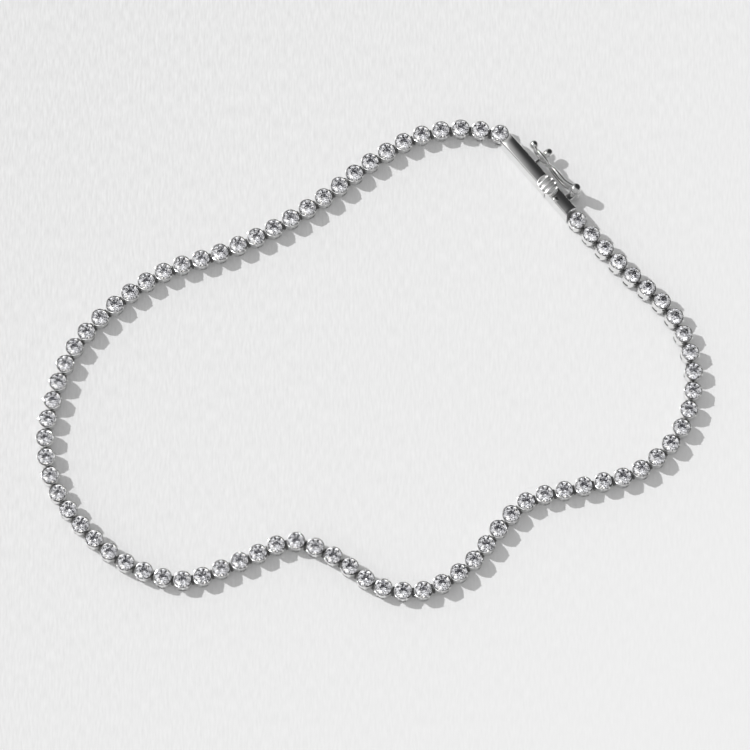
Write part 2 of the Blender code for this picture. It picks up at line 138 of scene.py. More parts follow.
def room_walls(pale, patches):
    """A pale room with round patches laid over one another in their order."""
    walls = room_colour(pale)
    for patch in patches:
        walls = room_cover(walls, patch.colour, Vector(patch.towards).normalized(),
                           math.cos(math.radians(patch.edge)), math.cos(math.radians(patch.core)))
    return walls


for_metal = room_cover(room_walls(METAL_PALE, METAL_PATCHES), HORIZON_DARK, (0, 0, -1),
                       -HORIZON_HEIGHTS[1], -HORIZON_HEIGHTS[0])
around = room_mix(seen.outputs["Is Glossy Ray"], room_colour(FILL), for_metal)
around = room_mix(seen.outputs["Is Transmission Ray"], around, room_walls(STONE_PALE, STONE_PATCHES))
around = room_mix(seen.outputs["Is Camera Ray"], around, room_colour(BACKDROP))
room_links.new(around, room_nodes["Background"].inputs["Color"])
bpy.context.scene.view_settings.view_transform = "Standard"

# The sheet that the bracelet lies on: heavy white paper with a fine upright tooth, which shows more towards
# the back on the left. Its colour is painted a little darker towards the back on the left and lighter towards
# the front on the right, a painted falloff of the lamp's light across the sheet. It is the floor, and no part
# of the bracelet.
MM = 0.001
SHEET_SIZE = 2.4
SHEET_TURN = (0.75, -0.66, 0)
SHEET_REACH = 45 * MM
SHEET_FALLOFF_TONES = (0.843, 0.905)
TOOTH_TONES = (0.26, 0.07)
TOOTH_WIDTH = 0.22 * MM
TOOTH_LENGTH = 1.3 * MM


def new_material(name, colour, roughness, metallic=0.0):
    """A material with one Principled BSDF, and its node tree and shader."""
    material = bpy.data.materials.new(name)
    material.use_nodes = True
    material.diffuse_color = (*colour, 1)
    tree = material.node_tree
    shader = tree.nodes["Principled BSDF"]
    shader.inputs["Base Color"].default_value = (*colour, 1)
    shader.inputs["Roughness"].default_value = roughness
    shader.inputs["Metallic"].default_value = metallic
    return material, tree, shader


def mesh_piece(name, points, faces, material, smooth=True):
    """An object at the origin. points is an array of places, and faces a list of arrays of corner numbers."""
    corners = np.concatenate([group.ravel() for group in faces])
    sides = np.concatenate([np.full(len(group), group.shape[1]) for group in faces])
    mesh = bpy.data.meshes.new(name)
    mesh.vertices.add(len(points))
    mesh.vertices.foreach_set("co", np.asarray(points, np.float32).ravel())
    mesh.loops.add(len(corners))
    mesh.loops.foreach_set("vertex_index", corners.astype(np.int32))
    mesh.polygons.add(len(sides))
    mesh.polygons.foreach_set("loop_start", np.concatenate([[0], np.cumsum(sides)[:-1]]).astype(np.int32))
    mesh.update(calc_edges=True)
    mesh.validate()
    mesh.polygons.foreach_set("use_smooth", np.full(len(sides), smooth))
    mesh.materials.append(material)
    piece = bpy.data.objects.new(name, mesh)
    bpy.context.collection.objects.link(piece)
    return piece


paper, paper_tree, paper_shader = new_material("white_paper", (SHEET_FALLOFF_TONES[1],) * 3, 0.92)
paper_shader.inputs["Specular IOR Level"].default_value = 0.2


def paper_node(kind, operation=None, **values):
    """A node of the paper's, with its operation and the values of its inputs by number."""
    node = paper_tree.nodes.new(kind)
    if operation:
        node.operation = operation
    for name, value in values.items():
        node.inputs[int(name[1:])].default_value = value
    return node


def paper_math(operation, first, second):
    """Two values put together by an operation."""
    node = paper_node("ShaderNodeMath", operation)
    for i, value in enumerate((first, second)):
        if isinstance(value, float):
            node.inputs[i].default_value = value
        else:
            paper_tree.links.new(value, node.inputs[i])
    return node.outputs["Value"]


place = paper_node("ShaderNodeTexCoord")
over_sheet = paper_node("ShaderNodeVectorMath", "DOT_PRODUCT", _1=SHEET_TURN)
paper_tree.links.new(place.outputs["Object"], over_sheet.inputs[0])
across_sheet = []
# The first range paints the lamp's falloff on the sheet, darker at the back on the left and lighter at the
# front on the right. The second sets the tooth's strength across the sheet.
for tones in (SHEET_FALLOFF_TONES, TOOTH_TONES):
    change = paper_node("ShaderNodeMapRange", _1=-SHEET_REACH, _2=SHEET_REACH, _3=tones[0], _4=tones[1])
    paper_tree.links.new(over_sheet.outputs["Value"], change.inputs["Value"])
    across_sheet.append(change.outputs["Result"])
stretch = paper_node("ShaderNodeMapping", _3=(1 / TOOTH_WIDTH, 1 / TOOTH_LENGTH, 1 / TOOTH_WIDTH))
tooth = paper_node("ShaderNodeTexNoise")
tooth.inputs["Scale"].default_value = 1.0
tooth.inputs["Detail"].default_value = 2.0
paper_tree.links.new(place.outputs["Object"], stretch.inputs["Vector"])
paper_tree.links.new(stretch.outputs["Vector"], tooth.inputs["Vector"])
grain = paper_math("MULTIPLY", paper_math("SUBTRACT", tooth.outputs["Fac"], 0.5), across_sheet[1])
paper_tree.links.new(paper_math("ADD", across_sheet[0], grain), paper_shader.inputs["Base Color"])
sheet_corners = SHEET_SIZE / 2 * np.array([(-1, -1, 0), (1, -1, 0), (1, 1, 0), (-1, 1, 0)])
sheet = mesh_piece("paper_sheet", sheet_corners, [np.array([[0, 1, 2, 3]])], paper)

# The way the line lies: from the clasp's box round the loop to the clasp's end block. Each cup stands on it
# at an even step, turned along it, and those at the right lean outwards a little, as the line settled.
LOOP_LENGTH = 66.6 * MM
LOOP_DEPTH = 50.5 * MM
CUP_BASE_RADIUS = 0.815 * MM
LINK_PITCH = 2.0 * MM
CLASP_CENTRE = Vector((0.2545 * LOOP_LENGTH, 0.3772 * LOOP_DEPTH, 0.0))
CLASP_HEADING = math.radians(-50.5)
END_CUP = 6.055 * MM
END_LEAN = 3.0
ROUTE = np.array([
    (14.1, 48.1, 0), (8.1, 46.9, 0), (0.3, 41.2, 0), (-6.8, 33.7, 0), (-14.4, 27.1, 0), (-22.7, 21.8, 0),
    (-31.1, 17.8, 0), (-38.4, 10.9, 0), (-44.3, 2.2, 0), (-47.6, -9.3, 0), (-48.6, -17.2, 0),
    (-47.7, -24.6, 0), (-42.9, -34.9, 0), (-36.0, -42.6, 0), (-27.8, -45.9, 0), (-19.2, -42.0, 0),
    (-10.8, -38.0, 0), (-5.7, -40.8, 0), (2.0, -47.5, 0), (7.5, -48.1, 0), (15.3, -42.0, 0),
    (18.9, -35.8, 0), (23.0, -30.1, 0), (31.7, -26.7, 0), (40.2, -23.4, 0), (46.5, -14.7, 2),
    (48.3, -3.6, 6), (45.5, 7.9, 11), (38.1, 18.0, 12),
])

clasp_place = Matrix.Translation(CLASP_CENTRE) @ Matrix.Rotation(CLASP_HEADING, 4, "Z")


def smooth_route(points, samples=24):
    """A smooth curve through the points: cubic pieces whose slope at a point is that of the parabola through
    it and its two neighbours."""
    steps = np.linalg.norm(np.diff(points[:, :2], axis=0), axis=1)
    runs = np.diff(points, axis=0) / steps[:, None]
    slopes = np.empty_like(points)
    share = steps[:-1] / (steps[:-1] + steps[1:])
    slopes[1:-1] = runs[:-1] * (1 - share)[:, None] + runs[1:] * share[:, None]
    slopes[0] = 1.5 * runs[0] - 0.5 * slopes[1]
    slopes[-1] = 1.5 * runs[-1] - 0.5 * slopes[-2]
    t = np.linspace(0, 1, samples, endpoint=False)[:, None]
    pieces = []
    for i, step in enumerate(steps):
        pieces.append((2 * t**3 - 3 * t**2 + 1) * points[i] + (t**3 - 2 * t**2 + t) * step * slopes[i]
                      + (3 * t**2 - 2 * t**3) * points[i + 1] + (t**3 - t**2) * step * slopes[i + 1])
    pieces.append(points[-1:])
    return np.concatenate(pieces)


def link_places():
    """A matrix for each link: at even steps on the route, turned along it, leaning, its base on z = 0."""
    ends = [clasp_place @ Vector((side * END_CUP, 0, 0)) for side in (-1, 1)]
    points = np.vstack([(ends[0].x, ends[0].y, 0), ROUTE * (LOOP_LENGTH / 100, LOOP_DEPTH / 100, 1),
                        (ends[1].x, ends[1].y, END_LEAN)])
    curve = smooth_route(points)
    run = np.concatenate([[0], np.cumsum(np.linalg.norm(np.diff(curve[:, :2], axis=0), axis=1))])
    at = np.linspace(0, run[-1], round(run[-1] / LINK_PITCH) + 1)
    x, y, lean = (np.interp(at, run, curve[:, i]) for i in range(3))
    ahead = np.arctan2(np.gradient(y), np.gradient(x))
    places = []
    for i in range(len(at)):
        angle = math.radians(lean[i])
        lift = CUP_BASE_RADIUS * abs(math.sin(angle))
        places.append(Matrix.Translation((x[i], y[i], lift)) @ Matrix.Rotation(ahead[i], 4, "Z")
                      @ Matrix.Rotation(angle, 4, "X"))
    return np.array(places)


links = link_places()
half = len(links) // 2
line_parts = {"left": links[:half], "right": links[half:]}

# The cups: one for each stone, turned from white gold and polished. A cup is a collar that holds the stone
# over a thin base rail, with a slot between the two on each outer side of the line. Its rim is filed down
# towards the next cups, so the stone shows over it there.
CUP_COLUMNS = 24
SLOT_COLUMNS = 3
CUP_OUTSIDE = np.array([
    (0.790, 0.00), (0.818, 0.04), (0.832, 0.27), (0.862, 0.60), (0.885, 0.90), (0.912, 1.24), (0.925, 1.34),
    (0.912, 1.405), (0.870, 1.425),
]) * MM
CUP_INSIDE = np.array([
    (0.660, 0.00), (0.640, 0.04), (0.640, 0.27), (0.680, 0.60), (0.690, 0.90), (0.700, 1.22), (0.775, 1.31),
    (0.803, 1.38), (0.815, 1.41),
]) * MM
SLOT_ROW = 2
SCALLOP_START = 0.88 * MM
SCALLOP_DEPTH = 0.22 * MM
WHITE_METAL = (0.90, 0.90, 0.895)
POLISH_ROUGHNESS = 0.07
THROWN_COLOUR = (0.75, 0.75, 0.75, 1)
THROWN_ROUGHNESS = 0.9


def revolved(profile, columns, turn=0.0):
    """A surface of revolution: each row of the profile gives a radius and a height, carried round Z."""
    angle = (np.arange(columns) + turn) * 2 * math.pi / columns
    radius, height = profile[:, 0, None], profile[:, 1, None]
    return np.stack([radius * np.cos(angle), radius * np.sin(angle), height + 0 * angle], axis=-1)


def grid_faces(rows, columns, first=0):
    """Quads between neighbours of a grid of points that is closed across its columns."""
    row, column = np.meshgrid(np.arange(rows - 1), np.arange(columns), indexing="ij")
    after = (column + 1) % columns
    a, b = row * columns + column, row * columns + after
    return first + np.stack([a, b, b + columns, a + columns], axis=-1).reshape(-1, 4)


def pierced_wall(outside, inside, is_open, closed_start=False):
    """A wall between two grids of the same size, closed across their columns, with its first and last rows
    as rims, or with poles at the middles of its first rows. Cells in is_open are left out of both grids, and
    walls through the thickness close their edges."""
    rows, columns = outside.shape[:2]
    count = rows * columns
    closed = ~is_open.ravel()
    skin = grid_faces(rows, columns)
    faces = [skin[closed], skin[closed][:, ::-1] + count]
    shut = np.zeros((rows + 1, columns), bool)
    shut[0] = closed_start
    shut[1:-1] = ~is_open
    row, column = np.meshgrid(np.arange(rows), np.arange(columns), indexing="ij")
    along = np.stack([row * columns + column, row * columns + (column + 1) % columns], axis=-1)
    up = along[shut[1:] & ~shut[:-1]]
    down = along[shut[:-1] & ~shut[1:]]
    faces += [np.column_stack([up[:, 0], up[:, 0] + count, up[:, 1] + count, up[:, 1]]),
              np.column_stack([down[:, 1], down[:, 1] + count, down[:, 0] + count, down[:, 0]])]
    row, column = np.meshgrid(np.arange(rows - 1), np.arange(columns), indexing="ij")
    across = np.stack([row * columns + column, (row + 1) * columns + column], axis=-1)
    before = np.roll(is_open, 1, axis=1)
    start = across[before & ~is_open]
    stop = across[~before & is_open]
    faces += [np.column_stack([start[:, 1], start[:, 1] + count, start[:, 0] + count, start[:, 0]]),
              np.column_stack([stop[:, 0], stop[:, 0] + count, stop[:, 1] + count, stop[:, 1]])]
    points = np.concatenate([outside.reshape(-1, 3), inside.reshape(-1, 3)])
    if closed_start:
        points = np.concatenate([points, [outside[0].mean(axis=0)], [inside[0].mean(axis=0)]])
        near = np.arange(columns)
        after = (near + 1) % columns
        faces += [np.column_stack([after, near, np.full(columns, 2 * count)]),
                  np.column_stack([near + count, after + count, np.full(columns, 2 * count + 1)])]
    return points, faces


def closed_skin(rings):
    """A closed surface through rings of points: a grid closed across its columns, with the middles of its
    first and last rings as poles."""
    rows, columns = rings.shape[:2]
    points = np.concatenate([rings.reshape(-1, 3), [rings[0].mean(axis=0)], [rings[-1].mean(axis=0)]])
    near = np.arange(columns)
    after = (near + 1) % columns
    last = (rows - 1) * columns
    first_pole = np.full(columns, rows * columns)
    return points, [grid_faces(rows, columns), np.column_stack([after, near, first_pole]),
                    np.column_stack([near + last, after + last, first_pole + 1])]


def joined(shapes):
    """Several shapes as one, each a pair of points and faces."""
    points, faces, first = [], [], 0
    for shape_points, shape_faces in shapes:
        points.append(shape_points)
        faces += [group + first for group in shape_faces]
        first += len(shape_points)
    return np.concatenate(points), faces


def copies(shape, places):
    """A copy of the shape at each of the 4 by 4 matrices, as one shape."""
    points, faces = shape
    places = np.asarray(places)
    moved = np.einsum("nij,pj->npi", places[:, :3, :3], points) + places[:, None, :3, 3]
    first = np.arange(len(places))[:, None, None] * len(points)
    return moved.reshape(-1, 3), [(group[None] + first).reshape(-1, group.shape[1]) for group in faces]


def polish_group():
    """A hand polish: the places where the wheel left the metal a little less bright, and its faint waves.
    Inputs are the waves' size, the two roughnesses and the waves' depth. Outputs are Roughness and Normal."""
    group = bpy.data.node_groups.new("hand_polish", "ShaderNodeTree")
    usual = {"Wave Size": 0.9 * MM, "Bright": 0.05, "Dull": 0.12, "Wave Depth": 0.002 * MM}
    for name, value in usual.items():
        given_value = group.interface.new_socket(name=name, in_out="INPUT", socket_type="NodeSocketFloat")
        given_value.default_value = value
    group.interface.new_socket(name="Roughness", in_out="OUTPUT", socket_type="NodeSocketFloat")
    group.interface.new_socket(name="Normal", in_out="OUTPUT", socket_type="NodeSocketVector")
    nodes, joins = group.nodes, group.links
    given, result = nodes.new("NodeGroupInput"), nodes.new("NodeGroupOutput")
    spot = nodes.new("ShaderNodeTexCoord")
    size = nodes.new("ShaderNodeVectorMath")
    size.operation = "DIVIDE"
    spread = nodes.new("ShaderNodeCombineXYZ")
    waves = nodes.new("ShaderNodeTexNoise")
    waves.inputs["Scale"].default_value = 1.0
    waves.inputs["Detail"].default_value = 2.0
    dulled = nodes.new("ShaderNodeMapRange")
    bump = nodes.new("ShaderNodeBump")
    bump.inputs["Strength"].default_value = 1.0
    for axis in ("X", "Y", "Z"):
        joins.new(given.outputs["Wave Size"], spread.inputs[axis])
    joins.new(spot.outputs["Object"], size.inputs[0])
    joins.new(spread.outputs["Vector"], size.inputs[1])
    joins.new(size.outputs["Vector"], waves.inputs["Vector"])
    joins.new(waves.outputs["Fac"], dulled.inputs["Value"])
    joins.new(given.outputs["Bright"], dulled.inputs["To Min"])
    joins.new(given.outputs["Dull"], dulled.inputs["To Max"])
    joins.new(waves.outputs["Fac"], bump.inputs["Height"])
    joins.new(given.outputs["Wave Depth"], bump.inputs["Distance"])
    joins.new(dulled.outputs["Result"], result.inputs["Roughness"])
    joins.new(bump.outputs["Normal"], result.inputs["Normal"])
    return group


hand_polish = polish_group()


def polished_metal(name, colour, wave_size, bright, dull, wave_depth):
    """A white metal with the hand polish at that scale. What it throws back on the paper is soft and dim."""
    material, tree, shader = new_material(name, colour, POLISH_ROUGHNESS, 1.0)
    polish = tree.nodes.new("ShaderNodeGroup")
    polish.node_tree = hand_polish
    polish.inputs["Wave Size"].default_value = wave_size
    polish.inputs["Bright"].default_value = bright
    polish.inputs["Dull"].default_value = dull
    polish.inputs["Wave Depth"].default_value = wave_depth
    path = tree.nodes.new("ShaderNodeLightPath")
    softened = tree.nodes.new("ShaderNodeMix")
    softened.inputs["B"].default_value = THROWN_ROUGHNESS
    dimmed = tree.nodes.new("ShaderNodeMix")
    dimmed.data_type = "RGBA"
    dimmed.inputs["A"].default_value = (*colour, 1)
    dimmed.inputs["B"].default_value = THROWN_COLOUR
    tree.links.new(path.outputs["Is Diffuse Ray"], softened.inputs["Factor"])
    tree.links.new(path.outputs["Is Diffuse Ray"], dimmed.inputs["Factor"])
    tree.links.new(polish.outputs["Roughness"], softened.inputs["A"])
    tree.links.new(softened.outputs["Result"], shader.inputs["Roughness"])
    tree.links.new(dimmed.outputs["Result"], shader.inputs["Base Color"])
    tree.links.new(polish.outputs["Normal"], shader.inputs["Normal"])
    return material


def scalloped(wall):
    """The wall's grid with its rim let down by the depth times cos^4 of the angle round the cup, which is 0
    towards the next cup."""
    around = wall[:, :, 0] / np.linalg.norm(wall[:, :, :2], axis=2)
    share = np.clip((wall[:, :, 2] - SCALLOP_START) / (CUP_OUTSIDE[-1, 1] - SCALLOP_START), 0, 1)
    wall[:, :, 2] -= SCALLOP_DEPTH * around ** 4 * share
    return wall


cup_metal = polished_metal("cup_white_gold", WHITE_METAL, 0.5 * MM, 0.06, 0.16, 0.0015 * MM)
slot_cells = np.zeros((len(CUP_OUTSIDE) - 1, CUP_COLUMNS), bool)
for side in (1, 3):
    start = side * CUP_COLUMNS // 4 - SLOT_COLUMNS // 2
    slot_cells[SLOT_ROW, start:start + SLOT_COLUMNS] = True
cup = pierced_wall(scalloped(revolved(CUP_OUTSIDE, CUP_COLUMNS, -0.5)),
                   scalloped(revolved(CUP_INSIDE, CUP_COLUMNS, -0.5)), slot_cells)
for part, places in line_parts.items():
    cups = mesh_piece(f"cups_{part}", *copies(cup, places), cup_metal)
    cups.data.set_sharp_from_angle(angle=math.radians(40))
    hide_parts(f"stone_line_{part}")
    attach(cups, "bracelet")

# The prongs: four round claws on each cup, in pairs on its two outer sides. Each is soldered up the collar's
# wall and bent in over the stone's edge, with its end burnished to a bead.
PRONG_TURNS = np.radians([62, 118, 242, 298])
PRONG_SIDES = 7
PRONG_PATH = np.array([
    (0.885, 0.78, 0.060), (0.893, 0.86, 0.090), (0.893, 1.14, 0.095), (0.880, 1.28, 0.105),
    (0.850, 1.37, 0.124), (0.800, 1.420, 0.138), (0.730, 1.435, 0.100),
]) * MM


def bent_rod(path, radii, sides):
    """A round rod along a path in the plane of X and Z: a ring of points across the path at each of its
    points, with the ends closed."""
    path = np.asarray(path)
    run = np.gradient(path, axis=0)
    run /= np.linalg.norm(run, axis=1)[:, None]
    angle = np.arange(sides) * 2 * math.pi / sides
    radii = np.asarray(radii)[:, None]
    x = path[:, 0, None] + radii * np.cos(angle) * run[:, 1, None]
    z = path[:, 1, None] - radii * np.cos(angle) * run[:, 0, None]
    return closed_skin(np.stack([x, radii * np.sin(angle), z], axis=-1))


def turns(angles):
    """A 4 by 4 matrix that turns about Z for each angle."""
    return np.array([Matrix.Rotation(angle, 4, "Z") for angle in angles])


prong = bent_rod(PRONG_PATH[:, :2], PRONG_PATH[:, 2], PRONG_SIDES)
four_prongs = copies(prong, turns(PRONG_TURNS))
prong_metal = polished_metal("prong_white_gold", WHITE_METAL, 0.3 * MM, 0.02, 0.06, 0.001 * MM)
for part, places in line_parts.items():
    prongs = mesh_piece(f"prongs_{part}", *copies(four_prongs, places), prong_metal)
    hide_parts(f"stone_line_{part}")
    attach(prongs, "bracelet")

# The hinges between the cups: a flat bar that reaches from one cup to the next, low in the gap, and the rivet
# through it whose two domed ends show beside it. Their metal is painted dark grey, painted shade for the dark
# gaps between the cups.
BAR_HALF_WIDTH = 0.20 * MM
BAR_LOW = 0.36 * MM
BAR_HIGH = 0.78 * MM
BAR_REACH = 0.19 * MM
RIVET_RADIUS = 0.15 * MM
RIVET_HALF = 0.50 * MM
RIVET_HEIGHT = 0.57 * MM
BAR_CORNERS = 12
BAR_EDGE = 0.08 * MM
RIVET_COLUMNS = 10
# Painted shade: a dark grey for the hinges' metal, standing in for the shade in the gaps between the cups.
HINGE_SHADE_COLOUR = (0.20, 0.20, 0.20)


def rounded_section(half_width, half_height, rounding, corners=4):
    """Points round a rectangle with rounded corners, anticlockwise, and the direction out of it at each."""
    points, outward = [], []
    for quarter, (x, y) in enumerate(((1, 1), (-1, 1), (-1, -1), (1, -1))):
        middle = np.array([x * (half_width - rounding), y * (half_height - rounding)])
        for step in range(corners):
            angle = (quarter + step / (corners - 1)) * math.pi / 2
            out = np.array([math.cos(angle), math.sin(angle)])
            points.append(middle + rounding * out)
            outward.append(out)
    return np.array(points), np.array(outward)


def middles(places):
    """The places halfway between each link and the next, turned halfway."""
    between = []
    for near, far in zip(places, places[1:]):
        near, far = Matrix(near), Matrix(far)
        turn = near.to_quaternion().slerp(far.to_quaternion(), 0.5).to_matrix().to_4x4()
        between.append(Matrix.Translation((near.translation + far.translation) / 2) @ turn)
    return np.array(between)


# The hinges' metal is duller, and painted dark grey as shade for the gaps between the cups.
shade_dark_hinge_metal = polished_metal("unpolished_hinge_painted_shade", HINGE_SHADE_COLOUR, 0.3 * MM, 0.25, 0.45, 0.003 * MM)
bar_section, _ = rounded_section(BAR_HALF_WIDTH, (BAR_HIGH - BAR_LOW) / 2, BAR_EDGE, 3)
bar_levels = bar_section[:, 1] + (BAR_LOW + BAR_HIGH) / 2
bar_rings = [np.column_stack([np.full(BAR_CORNERS, x), bar_section[:, 0], bar_levels])
             for x in np.linspace(-BAR_REACH, BAR_REACH, 3)]
hinge_bar = closed_skin(np.array(bar_rings))
rivet_path = np.array([(-1.0, 0.45), (-0.94, 0.85), (-0.8, 1.0), (0.8, 1.0), (0.94, 0.85), (1.0, 0.45)])
rivet_profile = np.column_stack([rivet_path[:, 1] * RIVET_RADIUS, rivet_path[:, 0] * RIVET_HALF])
rivet = closed_skin(revolved(rivet_profile, RIVET_COLUMNS))
across_line = np.array(Matrix.Translation((0, 0, RIVET_HEIGHT)) @ Matrix.Rotation(math.pi / 2, 4, "X"))
hinge = joined([hinge_bar, copies(rivet, [across_line])])
hinge_places = middles(links)
for part, places in (("left", hinge_places[:half]), ("right", hinge_places[half:])):
    hinges = mesh_piece(f"hinges_{part}", *copies(hinge, places), shade_dark_hinge_metal)
    hinges.data.set_sharp_from_angle(angle=math.radians(50))
    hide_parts(f"stone_line_{part}")
    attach(hinges, "bracelet")

# The stones: clear round brilliants, cut with a table, 8 stars, 8 kites and 16 halves above the girdle, and
# 16 halves and 8 long mains below it. Each sits in its cup at a turn of its own and leans a little.
STONE_RADIUS = 0.80 * MM
TABLE_RADIUS = 0.45 * MM
STAR_RADIUS = 0.635 * MM
LOWER_RADIUS = 0.20 * MM
GIRDLE_LOW = 1.375 * MM
GIRDLE_HIGH = 1.405 * MM
TABLE_HEIGHT = 1.65 * MM
CULET_HEIGHT = 0.69 * MM
STONE_TILT = math.radians(1.5)
STONE_CLEAR = (0.985, 0.985, 0.998)
STONE_INDEX = 2.35
STONE_SEED = 7


def brilliant():
    """A round brilliant. The table's 8 corners lie at the mains' angles, and the points where a star, two
    kites and two halves meet lie in the kites' planes, halfway between those angles."""
    eighth = math.pi / 4
    main = np.arange(8) * eighth
    between = main + eighth / 2
    girdle = np.arange(16) * eighth / 2

    def ring(angles, radius, height):
        level = np.full(len(angles), height)
        return np.column_stack([radius * np.cos(angles), radius * np.sin(angles), level])

    fold = math.cos(eighth / 2)
    crown_slope = (TABLE_HEIGHT - GIRDLE_HIGH) / (STONE_RADIUS - TABLE_RADIUS)
    star_height = TABLE_HEIGHT - (STAR_RADIUS * fold - TABLE_RADIUS) * crown_slope
    pavilion_slope = (GIRDLE_LOW - CULET_HEIGHT) / STONE_RADIUS
    lower_height = CULET_HEIGHT + LOWER_RADIUS * fold * pavilion_slope
    points = np.concatenate([
        ring(main, TABLE_RADIUS, TABLE_HEIGHT), ring(between, STAR_RADIUS, star_height),
        ring(girdle, STONE_RADIUS, GIRDLE_HIGH), ring(girdle, STONE_RADIUS, GIRDLE_LOW),
        ring(between, LOWER_RADIUS, lower_height), [(0, 0, CULET_HEIGHT)],
    ])
    star, upper, lower, deep, culet = 8, 16, 32, 48, 56
    i = np.arange(8)
    after = (i + 1) % 8
    before = (i - 1) % 8
    g = np.arange(16)
    next_g = (g + 1) % 16
    halves = (g // 2) % 8
    return points, [
        i[None],
        np.column_stack([i, star + i, after]),
        np.column_stack([i, star + before, upper + 2 * i, star + i]),
        np.column_stack([star + halves, upper + g, upper + next_g]),
        np.column_stack([upper + g, lower + g, lower + next_g, upper + next_g]),
        np.column_stack([deep + halves, lower + next_g, lower + g]),
        np.column_stack([deep + i, lower + 2 * i, deep + before, np.full(8, culet)]),
    ]


stone_glass, _, stone_shader = new_material("clear_stone", STONE_CLEAR, 0.0)
stone_shader.inputs["IOR"].default_value = STONE_INDEX
stone_shader.inputs["Transmission Weight"].default_value = 1.0
chance = np.random.default_rng(STONE_SEED)
stone = brilliant()
for part, places in line_parts.items():
    seats = []
    for seat in places:
        turn = Matrix.Rotation(chance.uniform(0, math.pi / 4), 4, "Z")
        tilt = Matrix.Rotation(chance.normal(0, STONE_TILT), 4, "X") @ Matrix.Rotation(
            chance.normal(0, STONE_TILT), 4, "Y")
        middle = Matrix.Translation((0, 0, GIRDLE_LOW))
        seats.append(Matrix(seat) @ middle @ tilt @ turn @ middle.inverted())
    stones = mesh_piece(f"stones_{part}", *copies(stone, np.array(seats)), stone_glass, smooth=False)
    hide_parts(f"stone_line_{part}")
    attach(stones, "bracelet")

# The clasp's box: folded from sheet, soldered and polished, hollow and open at the seam, with a slot in its
# top for the thumb piece's neck. Its far end is hollowed to sit against the first cup, and its top falls away
# a little towards the inner side, most of all at that end, where the polisher went over it.
CLASP_SIDE = 0.69 * MM
CLASP_HEIGHT = 2.20 * MM
CLASP_END = 5.21 * MM
CUP_WRAP = 0.20 * MM
CUP_CLEARANCE = 1.045 * MM
SEAM = 1.69 * MM
CORNER_ROUND = 0.11 * MM
LIP_ROUND = 0.06 * MM
LIP_TURNS = np.radians([0, 45, 90])
CROWN_RISE = 0.02 * MM
SIDE_SWELL = 0.03 * MM
BOX_WALL = 0.20 * MM
CAVITY_END = -3.11 * MM
SLOT_START = 0.89 * MM
FLAT_SHARES = np.array([-0.86, -0.56, -0.28, 0.0, 0.28, 0.56, 0.86])
CORNER_POINTS = 5
FALL_START = 0.25 * MM
BOX_FALL = 0.16 * MM
SEAM_FALL = 0.02 * MM
CAP_SHRINKS = (0.25, 0.65)
CLASP_METAL = (0.82, 0.82, 0.815)
ROLL_START = -4.1 * MM
ROLL_DROP = 0.18 * MM
BOX_STATIONS = np.array([-4.6, -3.8, -2.8, -1.6, -0.4]) * MM
NECK_SLOT_ROWS = 3
NECK_SLOT_COLUMNS = slice(CORNER_POINTS + 1, CORNER_POINTS + 5)


def case_section(inset=0.0):
    """Points round the clasp's section as y and z, anticlockwise seen from its end block: a rectangle with
    rounded corners, drawn in by inset all round, its top slightly crowned and its sides slightly swollen."""
    half_width = CLASP_SIDE - inset
    half_height = CLASP_HEIGHT / 2 - inset
    rounding = max(CORNER_ROUND - inset, 0.015 * MM)
    angle = np.linspace(0, math.pi / 2, CORNER_POINTS)
    runs = []
    for quarter, (y, z) in enumerate(((1, 1), (-1, 1), (-1, -1), (1, -1))):
        middle = np.array([y * (half_width - rounding), z * (half_height - rounding)])
        bend = angle + quarter * math.pi / 2
        runs.append(middle + rounding * np.column_stack([np.cos(bend), np.sin(bend)]))
        level = quarter % 2 == 0
        reach = (half_width if level else half_height) - rounding
        along = FLAT_SHARES * reach * (-z if level else y)
        across = np.full(len(along), z * half_height if level else y * half_width)
        runs.append(np.column_stack([along, across] if level else [across, along]))
    points = np.concatenate(runs)
    share = points / (half_width, half_height)
    points[:, 1] += np.where(share[:, 1] > 0.9, CROWN_RISE * (1 - share[:, 0] ** 2), 0)
    points[:, 0] -= np.where(abs(share[:, 0]) > 0.9, SIDE_SWELL * np.sign(share[:, 0]) * share[:, 1] ** 2, 0)
    return points


def case_ring(section, end, towards=0, drop=0.0, shrink=1.0):
    """One ring of the clasp: the section shrunk about its middle, at an end that is hollowed for a cup if
    towards is 1 or -1, and straight if it is 0. The top's inner side falls by drop, and the top rolls off
    towards the box's far end."""
    y, z = (section * shrink).T
    hollow = CUP_CLEARANCE - np.sqrt(CUP_CLEARANCE ** 2 - y ** 2)
    x = end + towards * np.minimum(hollow, CUP_WRAP)
    fall = drop * np.clip((FALL_START - y) / (FALL_START + CLASP_SIDE), 0, 1) ** 2
    fall += ROLL_DROP * np.clip((ROLL_START - x) / (ROLL_START + CLASP_END), 0, 1) ** 2
    z = z - np.where(z > 0.4 * CLASP_HEIGHT, fall, 0)
    return np.stack([x, y, z + CLASP_HEIGHT / 2], axis=-1)


def hollowed_end(side, drop):
    """The rings of a clasp's end from the middle of its hollow out over its rounded edge. side is -1 for the
    box's end and 1 for the end block's."""
    deep = side * (CLASP_END - CUP_WRAP)
    rings = [case_ring(case_section(LIP_ROUND), deep, side, drop, shrink) for shrink in CAP_SHRINKS]
    for turn in LIP_TURNS:
        section = case_section(LIP_ROUND * (1 - math.sin(turn)))
        rings.append(case_ring(section, deep - side * LIP_ROUND * (1 - math.cos(turn)), side, drop))
    return rings


def on_clasp(shape):
    """The shape moved from the clasp's own frame to where the clasp lies."""
    return copies(shape, [clasp_place])


